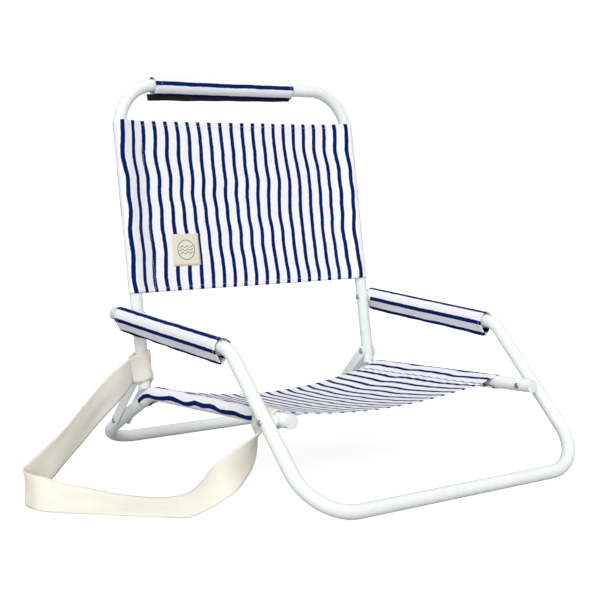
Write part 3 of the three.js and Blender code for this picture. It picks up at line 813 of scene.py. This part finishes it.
def makeCap(name, x, keys, body, node):
    end, inwards = (sideView[key] for key in keys)
    axis = (0, end[0] - inwards[0], end[1] - inwards[1])
    t, r, g = cap["thickness"], cap["radius"], cap["groove"]
    profile = [(0, gap), (r - g, gap), (r, gap + g), (r, 0.45 * t)]
    profile += [(r - g, 0.52 * t), (r, 0.60 * t), (r, 0.80 * t)]
    for i in range(1, 6):
        a = i / 5 * math.pi / 2
        profile.append((r - 0.2 * t * (1 - math.cos(a)), 0.80 * t + 0.2 * t * math.sin(a)))
    profile += [(0.6 * r, 1.08 * t), (0, 1.13 * t)]
    piece = lathePiece(name, profile, (x, *end), axis, whitePlastic, 40)
    attach(piece, body, "white_plastic", node)


for side, sign in hands:
    makeCap("armCap_" + side, sign * halfFront, ("armEnd", "armCorner"), "front_frame",
            "arm_end_cap_" + side)
    makeCap("railCap_" + side, sign * halfSeat, ("railEnd", "seatBend"), "seat_frame",
            "seat_rail_cap_" + side)
    makeCap("uprightPlug_" + side, sign * halfBack, ("uprightEnd", "headBar"), "back_frame",
            "upright_foot_" + side)

# spacers and links

link = {"width": 0.020, "thickness": 0.0022, "edge": 0.0005, "roundSteps": 20}


def makeSpacer(name, node):
    low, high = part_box(node)
    sign = 1 if high.x > 0 else -1
    inner, outer = (low.x, high.x) if sign > 0 else (-high.x, -low.x)
    radius, r = (high.z - low.z) / 2, 0.0008
    middle = (low + high) / 2
    profile = [(0, inner), (radius - r, inner), (radius, inner + r)]
    profile += [(radius, outer - r), (radius - r, outer), (0, outer)]
    piece = lathePiece(name, profile, (0, middle.y, middle.z), (sign, 0, 0), whitePlastic, 36)
    attach(piece, "front_frame", "white_plastic", node)


def makeLink(name, node, body):
    low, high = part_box(node)
    down = np.array(linkBottom) - np.array(linkTop)
    tilt = math.atan2(down[1], down[0])
    reach = link["width"] / 2
    outline = []
    for centre, start in ((linkBottom, tilt - math.pi / 2), (linkTop, tilt + math.pi / 2)):
        for i in range(link["roundSteps"] + 1):
            a = start + math.pi * i / link["roundSteps"]
            outline.append((centre[0] + reach * math.cos(a), centre[1] + reach * math.sin(a)))
    count = len(outline)
    points = [(low.x, y, z) for y, z in outline] + [(high.x, y, z) for y, z in outline]
    faces = [tuple(range(count))[::-1], tuple(range(count, 2 * count))]
    faces += [(i, (i + 1) % count, count + (i + 1) % count, count + i) for i in range(count)]
    piece = newPiece(name, points, faces, whitePaint)
    edges = piece.modifiers.new("edges", "BEVEL")
    edges.width, edges.segments, edges.limit_method = link["edge"], 3, "ANGLE"
    keepPlain(piece)
    attach(piece, body, "white_powder_coat", node)


for side, sign in hands:
    makeSpacer("frontSpacer_" + side, "front_pivot_spacer_" + side)
    makeSpacer("armSpacer_" + side, "arm_pivot_spacer_" + side)
    makeLink("outerLink_" + side, "link_outer_" + side, "link_" + side)
    makeLink("innerLink_" + side, "link_inner_" + side, "link_" + side)

# rivets: a domed head with a rolled rim, set at both ends of each shank

rivet = {"head": 0.0050, "dome": 0.0020, "shank": 0.0030}


def makeHead():
    r, d = rivet["head"], rivet["dome"]
    profile = [(0, -0.0004), (r * 0.97, -0.0004), (r, 0.12 * d)]
    for i in range(1, 8):
        a = i / 7 * math.pi / 2
        profile.append((r * (0.62 + 0.38 * math.cos(a)), d * (0.12 + 0.78 * math.sin(a))))
    profile += [(0.56 * r, 0.80 * d), (0.50 * r, 0.82 * d), (0.30 * r, 0.97 * d), (0, d)]
    return lathePiece("rivetHead", profile, (0, 0, 0), (0, 0, 1), rivetZinc, 24)


headShape = makeHead()


def makeRivets(name, body, nodes):
    places, facing = [], []
    shanks = []
    for node, ends in nodes:
        low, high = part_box(node)
        y, z = (low.y + high.y) / 2, (low.z + high.z) / 2
        if "low" in ends:
            places.append((low.x + rivet["dome"], y, z))
            facing.append((-1, 0, 0))
        if "high" in ends:
            places.append((high.x - rivet["dome"], y, z))
            facing.append((1, 0, 0))
        start = low.x + (rivet["dome"] if "low" in ends else 0)
        stop = high.x - (rivet["dome"] if "high" in ends else 0)
        profile = [(0, start), (rivet["shank"], start), (rivet["shank"], stop), (0, stop)]
        shanks.append(lathePiece("shank", profile, (0, y, z), (1, 0, 0), rivetZinc, 16))
    mesh = bpy.data.meshes.new(name)
    mesh.from_pydata(places, [], [])
    attribute = mesh.attributes.new("facing", "FLOAT_VECTOR", "POINT")
    attribute.data.foreach_set("vector", np.array(facing, np.float32).ravel())
    piece = bpy.data.objects.new(name, mesh)
    bpy.context.scene.collection.objects.link(piece)
    modifier = piece.modifiers.new("heads", "NODES")
    modifier.node_group = rivetTree
    setInputs(modifier, Head=headShape, Material=rivetZinc)
    keepPlain(piece)
    with bpy.context.temp_override(active_object=piece, selected_editable_objects=[piece, *shanks]):
        bpy.ops.object.join()
    piece.data.shade_smooth()
    attach(piece, body, "rivet_zinc", *[node for node, _ in nodes])


bothEnds = ("low", "high")
pivotRivets = [kind + side for kind in ("front_pivot_rivet_", "arm_pivot_rivet_") for side, _ in hands]
makeRivets("frontRivets", "front_frame", [(node, bothEnds) for node in pivotRivets])
makeRivets("linkTopRivets", "back_frame", [("link_upper_rivet_" + side, bothEnds) for side, _ in hands])
for side, sign in hands:
    outer, inner = ("high", "low") if sign > 0 else ("low", "high")
    makeRivets("linkRivets_" + side, "link_" + side,
               [("link_lower_rivet_outer_" + side, (outer,)), ("link_lower_rivet_inner_" + side, (inner,))])
bpy.data.objects.remove(headShape)
print("caps, spacers, links and rivets made")

# canvas panels, each sewn round its two side tubes

canvas = {"thickness": 0.0009, "wrap": 0.0118, "raw": 0.008, "hem": 0.011, "hemPlies": 1.7,
          "stitchInset": 0.0075, "stitchLift": 0.0006}
flatSizes = {}


def panelProfile(half, seam, sag):
    # across the chair: (x, out of the sheet), from one raw edge round both tubes to the other
    reach = math.acos(canvas["wrap"] / (half - seam))
    under = -1.3 * canvas["thickness"]
    left = [(-seam + canvas["raw"], under), (-seam, under)]
    for a in np.linspace(-reach, -(2 * math.pi - reach), 40):
        left.append((-half + canvas["wrap"] * math.cos(a), canvas["wrap"] * math.sin(a)))
    middle = [(x, -sag * (1 - (x / seam) ** 2)) for x in np.linspace(-seam, seam, 61)]
    right = [(-x, f) for x, f in left][::-1]
    return left + middle + right


def panelGrid(name, profile, panel, stations, place, relief, material, body, node):
    across, s = resample(profile, panel["step"])
    zero = np.interp(0, across[len(s) // 2 - 2:len(s) // 2 + 3, 0], s[len(s) // 2 - 2:len(s) // 2 + 3])
    grid = np.zeros((len(stations), len(s), 3))
    for i, t in enumerate(stations):
        for j, (x, out) in enumerate(across):
            grid[i, j] = place(x, t, out + relief(x, t))
    rowUv = np.concatenate([[0], np.cumsum(np.linalg.norm(np.diff(grid[:, len(s) // 2], axis=0), axis=1))])
    # past each side seam, the pattern skips the cloth that the seam takes up
    cut = s - zero
    cut = cut + np.sign(cut) * panel["tuck"] * (np.abs(cut) > panel["seam"])
    uv = np.stack(np.broadcast_arrays(cut[None, :], rowUv[:, None]), 2)
    ends = np.minimum(rowUv, rowUv[-1] - rowUv)
    doubled = np.where(ends < canvas["hem"], canvas["hemPlies"], 1.0)
    thickness = canvas["thickness"] * doubled[:, None] * np.ones(len(s))[None, :]
    piece = clothPiece(name, grid, uv, thickness, material)
    attach(piece, body, "striped_canvas", node)
    flatSizes[name] = (float(s[-1] + 2 * panel["tuck"]), float(rowUv[-1] + 2 * canvas["hem"]))
    return piece


backPanel = {"low": 0.0365, "high": 0.3405, "seam": 0.210, "sag": 0.003, "tuck": 0.0,
             "step": 0.0042, "rows": 76, "ripple": 0.0012, "rippleScale": 0.16, "pucker": 0.0005,
             "puckerPitch": 0.017, "puckerReach": 0.016, "puckerSway": 1.3, "seed": 11}


def onBackCloth(x, along, out):
    # the side tubes start to bend in towards the head bar under the panel's top hem
    past = max(0.0, along - (headAlong - bends["headBar"]))
    return onBack(x * (1 - past ** 2 / (2 * bends["headBar"] * halfBack)), along, out)


def clothRelief(panel, x, at):
    # slow unevenness in the middle of the cloth, and puckers along its side seams
    inner = max(0.0, 1 - (abs(x) / panel["seam"]) ** 4)
    nearSeam = math.exp(-abs(abs(x) - panel["seam"]) / panel["puckerReach"])
    slow = float(ripples(np.array(x), np.array(at), panel["seed"], panel["rippleScale"]))
    pucker = math.sin(2 * math.pi * at / panel["puckerPitch"] + panel["puckerSway"] * slow)
    puckered = abs(x) < panel["seam"] + 0.01
    return panel["ripple"] * slow * inner + panel["pucker"] * pucker * nearSeam * puckered


def backRelief(x, along):
    return clothRelief(backPanel, x, along)


backProfile = panelProfile(halfBack, backPanel["seam"], backPanel["sag"])
backRows = np.linspace(backPanel["low"], backPanel["high"], backPanel["rows"])
backPiece = panelGrid("backCanvasPanel", backProfile, backPanel, backRows, onBackCloth, backRelief,
                      backCanvas, "back_frame", "back_panel")

seatPanel = {"front": -0.190, "pastBend": 0.036, "sag": 0.017, "belly": 0.011, "bellyShape": 0.8,
             "seam": 0.207, "tuck": 0.0112, "step": 0.0044, "rowStep": 0.005, "ripple": 0.0017,
             "rippleScale": 0.19, "pucker": 0.0007, "puckerPitch": 0.021, "puckerReach": 0.018,
             "puckerSway": 1.0, "seed": 23}
rearCorner = np.array([0, *sideView["rearBar"]])
rearwards = (rearCorner - railTurn) / np.linalg.norm(rearCorner - railTurn)
seatCorners = [onRail(0, seatPanel["front"]), railTurn, railTurn + rearwards * seatPanel["pastBend"]]
seatPath = roundedPath(seatCorners, [bends["seatBend"]])
seatLine, seatAt = resample(seatPath, seatPanel["rowStep"])
seatTangents = tangentsOf(seatLine)
seatNormals = np.cross(np.array([1.0, 0, 0]), seatTangents)


def onSeat(x, t, out):
    place = np.array([np.interp(t, seatAt, seatLine[:, i]) for i in range(3)])
    normal = np.array([np.interp(t, seatAt, seatNormals[:, i]) for i in range(3)])
    place = place + out * normal / np.linalg.norm(normal)
    place[0] = x
    return place


def seatRelief(x, t):
    # the middle hangs lower than the hems
    belly = seatPanel["belly"] * math.sin(math.pi * min(1.0, t / seatAt[-1])) ** seatPanel["bellyShape"]
    outwards = min(1.0, abs(x) / seatPanel["seam"])
    return clothRelief(seatPanel, x, t) - belly * (1 - outwards ** 2)


seatProfile = panelProfile(halfSeat, seatPanel["seam"], seatPanel["sag"])
seatPiece = panelGrid("seatCanvasPanel", seatProfile, seatPanel, seatAt, onSeat, seatRelief,
                      seatCanvas, "seat_frame", "seat_panel")


def backSurface(x, along, lift=0.0):
    out = -backPanel["sag"] * (1 - (x / backPanel["seam"]) ** 2) if abs(x) < backPanel["seam"] else 0
    return onBackCloth(x, along, out + backRelief(x, along) + canvas["thickness"] / 2 + lift)


def seatSurface(x, t, lift=0.0):
    out = -seatPanel["sag"] * (1 - (x / seatPanel["seam"]) ** 2)
    return onSeat(x, t, out + seatRelief(x, t) + canvas["thickness"] / 2 + lift)


def stitchLines(seam, surface, low, high, count):
    # a row inside each hem and a row down each side seam
    inset, lift = canvas["stitchInset"], canvas["stitchLift"]
    lines = []
    for at in (low + inset, high - inset):
        lines.append([surface(x, at, lift) for x in np.linspace(0.002 - seam, seam - 0.002, 120)])
    for x in (-seam, seam):
        lines.append([surface(0.999 * x, at, lift) for at in np.linspace(low + 0.002, high - 0.002, count)])
    return lines


backLines = stitchLines(backPanel["seam"], backSurface, backPanel["low"], backPanel["high"], 90)
attach(stitchPiece("backStitches", backLines, whiteThread), "back_frame", "striped_canvas")
seatLines = stitchLines(seatPanel["seam"], seatSurface, 0.0, seatAt[-1], 100)
attach(stitchPiece("seatStitches", seatLines, whiteThread), "seat_frame", "striped_canvas")
print("canvas panels made")

# sewn patch


def makePatchPiece():
    us = np.linspace(-patch["width"] / 2, patch["width"] / 2, 15)
    vs = np.linspace(-patch["height"] / 2, patch["height"] / 2, 15)
    rise = patch["thickness"] / 2 + 0.0003
    grid = np.array([[backSurface(patch["x"] + u, patch["along"] + v, rise) for u in us] for v in vs])
    uv = np.stack(np.broadcast_arrays(us[None, :], vs[:, None]), 2)
    piece = clothPiece("backPatch", grid, uv, patch["thickness"], creamPatch)
    attach(piece, "back_frame", "cotton_label", "back_label")
    inset = 0.0028
    w, h = patch["width"] / 2 - inset, patch["height"] / 2 - inset
    corners = [(-w, -h), (w, -h), (w, h), (-w, h), (-w, -h)]
    border = []
    for (a, b), (c, d) in zip(corners, corners[1:]):
        for k in np.linspace(0, 1, 16):
            x, along = patch["x"] + a + (c - a) * k, patch["along"] + b + (d - b) * k
            border.append(backSurface(x, along, 2 * rise))
    stitches = stitchPiece("patchStitches", [border], tanThread, 0.0030, 0.0021, 0.0004)
    attach(stitches, "back_frame", "cotton_label")


makePatchPiece()

# padded sleeves: foam round the tube and a canvas cover closed underneath

sleeve = {"foamInner": 0.01135, "foamOuter": 0.0139, "cover": 0.0150, "thickness": 0.0009, "tuck": 0.0015,
          "hemStitch": 0.0065}
headSleeve = {"left": -0.183, "right": 0.121, "tapeEnds": (-0.190, 0.118), "drop": 0.0168,
              "phase": 0.0228, "tapeTop": 0.0158, "tapeBottom": (0.0272, 0.0214)}
armSleeve = {"rear": 0.191, "front": -0.133, "drop": 0.0262, "phase": {"left": 0.0072, "right": 0.0040},
             "tapeTop": 0.0205, "tapeBottom": (0.0276, 0.0284)}


def sleeveProfile(drop, tuck):
    # round the foam, then down both sides to the closure; angle 0 is straight down
    reach = math.acos(sleeve["cover"] / drop)
    side = []
    for a in np.linspace(reach, 2 * math.pi - reach, 44):
        side.append((sleeve["cover"] * math.sin(a), -sleeve["cover"] * math.cos(a)))
    return [(tuck, -drop)] + side + [(-tuck, -drop - 0.0012)]


def makeSleeve(name, path, up, drop, material, body, nodes, phase, wobble, seed):
    # path runs along the tube; up is the way the sleeve's top faces
    tangents = tangentsOf(path)
    profile, s = resample(sleeveProfile(drop, sleeve["tuck"]), 0.0026)
    at = np.concatenate([[0], np.cumsum(np.linalg.norm(np.diff(path, axis=0), axis=1))])
    grid = np.zeros((len(path), len(s), 3))
    for i, (place, tangent) in enumerate(zip(path, tangents)):
        rise = np.array(up) - (np.array(up) @ tangent) * tangent
        rise /= np.linalg.norm(rise)
        sideways = np.cross(tangent, rise)
        for j, (a, b) in enumerate(profile):
            loose = max(0.0, (-b - 0.010) / 0.016)
            wave = wobble * float(ripples(np.array(at[i]), np.array(s[j]), seed, 0.07))
            grid[i, j] = place + (a + 0.5 * wave * loose) * sideways + (b + wave * loose) * rise
    uv = np.stack(np.broadcast_arrays((s - s[-1] / 2 + phase)[None, :], at[:, None]), 2)
    ends = np.minimum(at, at[-1] - at)
    thickness = sleeve["thickness"] * np.where(ends < 0.008, 1.5, 1.0)[:, None] * np.ones(len(s))[None, :]
    piece = clothPiece(name, grid, uv, thickness, material)
    attach(piece, body, "striped_canvas", *nodes)
    flatSizes[name] = (float(s[-1]), float(at[-1] + 0.016))
    rings = []
    for inset in (sleeve["hemStitch"], at[-1] - sleeve["hemStitch"]):
        i = int(np.searchsorted(at, inset))
        out = grid[i] - path[i]
        out = out - (out @ tangents[i])[:, None] * tangents[i]
        out *= (0.00085 / np.linalg.norm(out, axis=1))[:, None]
        rings.append((grid[i] + out)[2:-2])
    attach(stitchPiece(name + "Hems", rings, whiteThread, 0.0031, 0.0023, 0.00055), body, "striped_canvas")
    return piece


def makeFoamTube(name, path, start, body, node):
    normals, sideways = pathFrames(path, start)
    angles = np.linspace(0, 2 * math.pi, 41)[:-1]
    points, faces = [], []
    for radius in (sleeve["foamInner"], sleeve["foamOuter"]):
        for place, n, b in zip(path, normals, sideways):
            points.extend(place + radius * (math.cos(a) * n + math.sin(a) * b) for a in angles)
    rows, count = len(path), len(angles)
    size = rows * count
    for i in range(rows - 1):
        for j in range(count):
            k = (j + 1) % count
            a, b, c, d = i * count + j, i * count + k, (i + 1) * count + k, (i + 1) * count + j
            faces.append((a, d, c, b))
            faces.append((size + a, size + b, size + c, size + d))
    last = (rows - 1) * count
    for j in range(count):
        k = (j + 1) % count
        faces.append((j, k, size + k, size + j))
        faces.append((last + j, size + last + j, size + last + k, last + k))
    piece = newPiece(name, points, faces, tanFoam)
    attach(piece, body, "foam", node)


def makeClosure(name, path, up, top, bottoms, body, node, seed):
    # two plies of tape pressed together under the sleeve, with an uneven lower edge
    tangents = tangentsOf(path)
    lowest = np.linspace(*bottoms, len(path))
    heights = np.linspace(top, max(bottoms), 6)
    at = np.concatenate([[0], np.cumsum(np.linalg.norm(np.diff(path, axis=0), axis=1))])
    grid = np.zeros((len(path), len(heights), 3))
    for i, (place, tangent) in enumerate(zip(path, tangents)):
        rise = np.array(up) - (np.array(up) @ tangent) * tangent
        rise /= np.linalg.norm(rise)
        sideways = np.cross(tangent, rise)
        wave = float(ripples(np.array(at[i]), np.array(0.0), seed, 0.06))
        for j in range(len(heights)):
            loose = j / (len(heights) - 1)
            h = top + (lowest[i] - top) * loose
            grid[i, j] = place - (h + 0.0007 * wave * loose) * rise + 0.0010 * wave * loose * sideways
    uv = np.stack(np.broadcast_arrays(heights[None, :], at[:, None]), 2)
    piece = clothPiece(name, grid, uv, 0.0017, hookAndLoop)
    attach(piece, body, "hook_and_loop", node)
    return piece


headCorners = [onBack(-halfBack, 0.30), onBack(-halfBack, headAlong), onBack(headSleeve["right"], headAlong)]
headLine = resample(roundedPath(headCorners, [bends["headBar"]]), 0.006)[0]
headLine = headLine[headLine[:, 0] >= headSleeve["left"]]
headCover = makeSleeve("headCover", headLine, upAxis, headSleeve["drop"], sleeveCanvas, "back_frame",
                       ["head_cover"], headSleeve["phase"], 0.0008, 31)
makeFoamTube("headFoam", headLine[1:-1], tuple(upAxis), "back_frame", "head_foam")
tapeLine = np.array([onBack(x, headAlong) for x in np.linspace(*headSleeve["tapeEnds"], 60)])
headClosure = makeClosure("headClosure", tapeLine, upAxis, headSleeve["tapeTop"], headSleeve["tapeBottom"],
                          "back_frame", "head_closure", 41)

armStart = np.array([0, *sideView["armEnd"]])
armAxis = np.array([0, *sideView["armCorner"]]) - armStart
armAxis /= np.linalg.norm(armAxis)
armUp = np.array([0, -armAxis[2], armAxis[1]])
armUp = armUp if armUp[2] > 0 else -armUp
for side, sign in hands:
    ys = np.linspace(armSleeve["rear"], armSleeve["front"], 70)
    path = np.array([armStart + armAxis * (y - armStart[1]) / armAxis[1] for y in ys])
    path[:, 0] = sign * halfFront
    cover = makeSleeve("armCover_" + side, path, armUp, armSleeve["drop"], sleeveCanvas, "front_frame",
                       ["arm_cover_" + side], armSleeve["phase"][side], 0.0012, 50 + sign)
    makeFoamTube("armFoam_" + side, path[1:-1], tuple(armUp), "front_frame", "arm_foam_" + side)
    tape = makeClosure("armClosure_" + side, path[1:-1], armUp, armSleeve["tapeTop"], armSleeve["tapeBottom"],
                       "front_frame", "arm_closure_" + side, 60 + sign)
print("sleeves made")

# floor and light


studio = {"floor": (0.44, 0.44, 0.45, 1), "floorGlow": 0.84, "zenith": 0.68, "horizon": 0.58,
          "backdrop": 1.06,
          "keyStrength": 1.35, "keyAngle": 26, "keyFrom": (-1.3, -1.7, 1.75),
          "fillStrength": 1.55, "fillAngle": 60, "fillFrom": (-1.3, -1.7, 0.10)}


def makeStage():
    mesh = bpy.data.meshes.new("floor")
    mesh.from_pydata([(-30, -30, 0), (30, -30, 0), (30, 30, 0), (-30, 30, 0)], [], [(0, 1, 2, 3)])
    n = Nodes("paleFloor")
    seen = n.tree.nodes.new("ShaderNodeLightPath").outputs["Is Camera Ray"]
    n.set(Base_Color=studio["floor"], Roughness=0.9, Specular_IOR_Level=0.0, Emission_Color=(1, 1, 1, 1),
          Emission_Strength=n.math("MULTIPLY", seen, studio["floorGlow"]))
    mesh.materials.append(n.material)
    floor = bpy.data.objects.new("floor", mesh)
    bpy.context.scene.collection.objects.link(floor)
    # a white backdrop, and a soft room that is brighter overhead than at the sides
    world = bpy.data.worlds.new("studio")
    world.use_nodes = True
    tree = world.node_tree
    split = tree.nodes.new("ShaderNodeSeparateXYZ")
    tree.links.new(tree.nodes.new("ShaderNodeTexCoord").outputs["Generated"], split.inputs[0])
    height = tree.nodes.new("ShaderNodeMapRange")
    tree.links.new(split.outputs["Z"], height.inputs["Value"])
    height.inputs["To Min"].default_value = studio["horizon"]
    height.inputs["To Max"].default_value = studio["zenith"]
    choose = tree.nodes.new("ShaderNodeMix")
    tree.links.new(tree.nodes.new("ShaderNodeLightPath").outputs["Is Camera Ray"], choose.inputs["Factor"])
    tree.links.new(height.outputs["Result"], choose.inputs["A"])
    choose.inputs["B"].default_value = studio["backdrop"]
    tree.links.new(choose.outputs["Result"], tree.nodes["Background"].inputs["Strength"])
    tree.nodes["Background"].inputs["Color"].default_value = (0.985, 0.99, 1.0, 1)
    bpy.context.scene.world = world
    for name in ("key", "fill"):
        data = bpy.data.lights.new(name, "SUN")
        data.energy, data.angle = studio[name + "Strength"], math.radians(studio[name + "Angle"])
        lamp = bpy.data.objects.new(name, data)
        lamp.rotation_mode = "QUATERNION"
        lamp.rotation_quaternion = (-Vector(studio[name + "From"])).to_track_quat("-Z", "Y")
        bpy.context.scene.collection.objects.link(lamp)
    bpy.context.scene.view_settings.view_transform = "Standard"


makeStage()
for name, flat in flatSizes.items():
    print("%s flat %.3f x %.3f m" % (name, *flat))
print("scene ready")
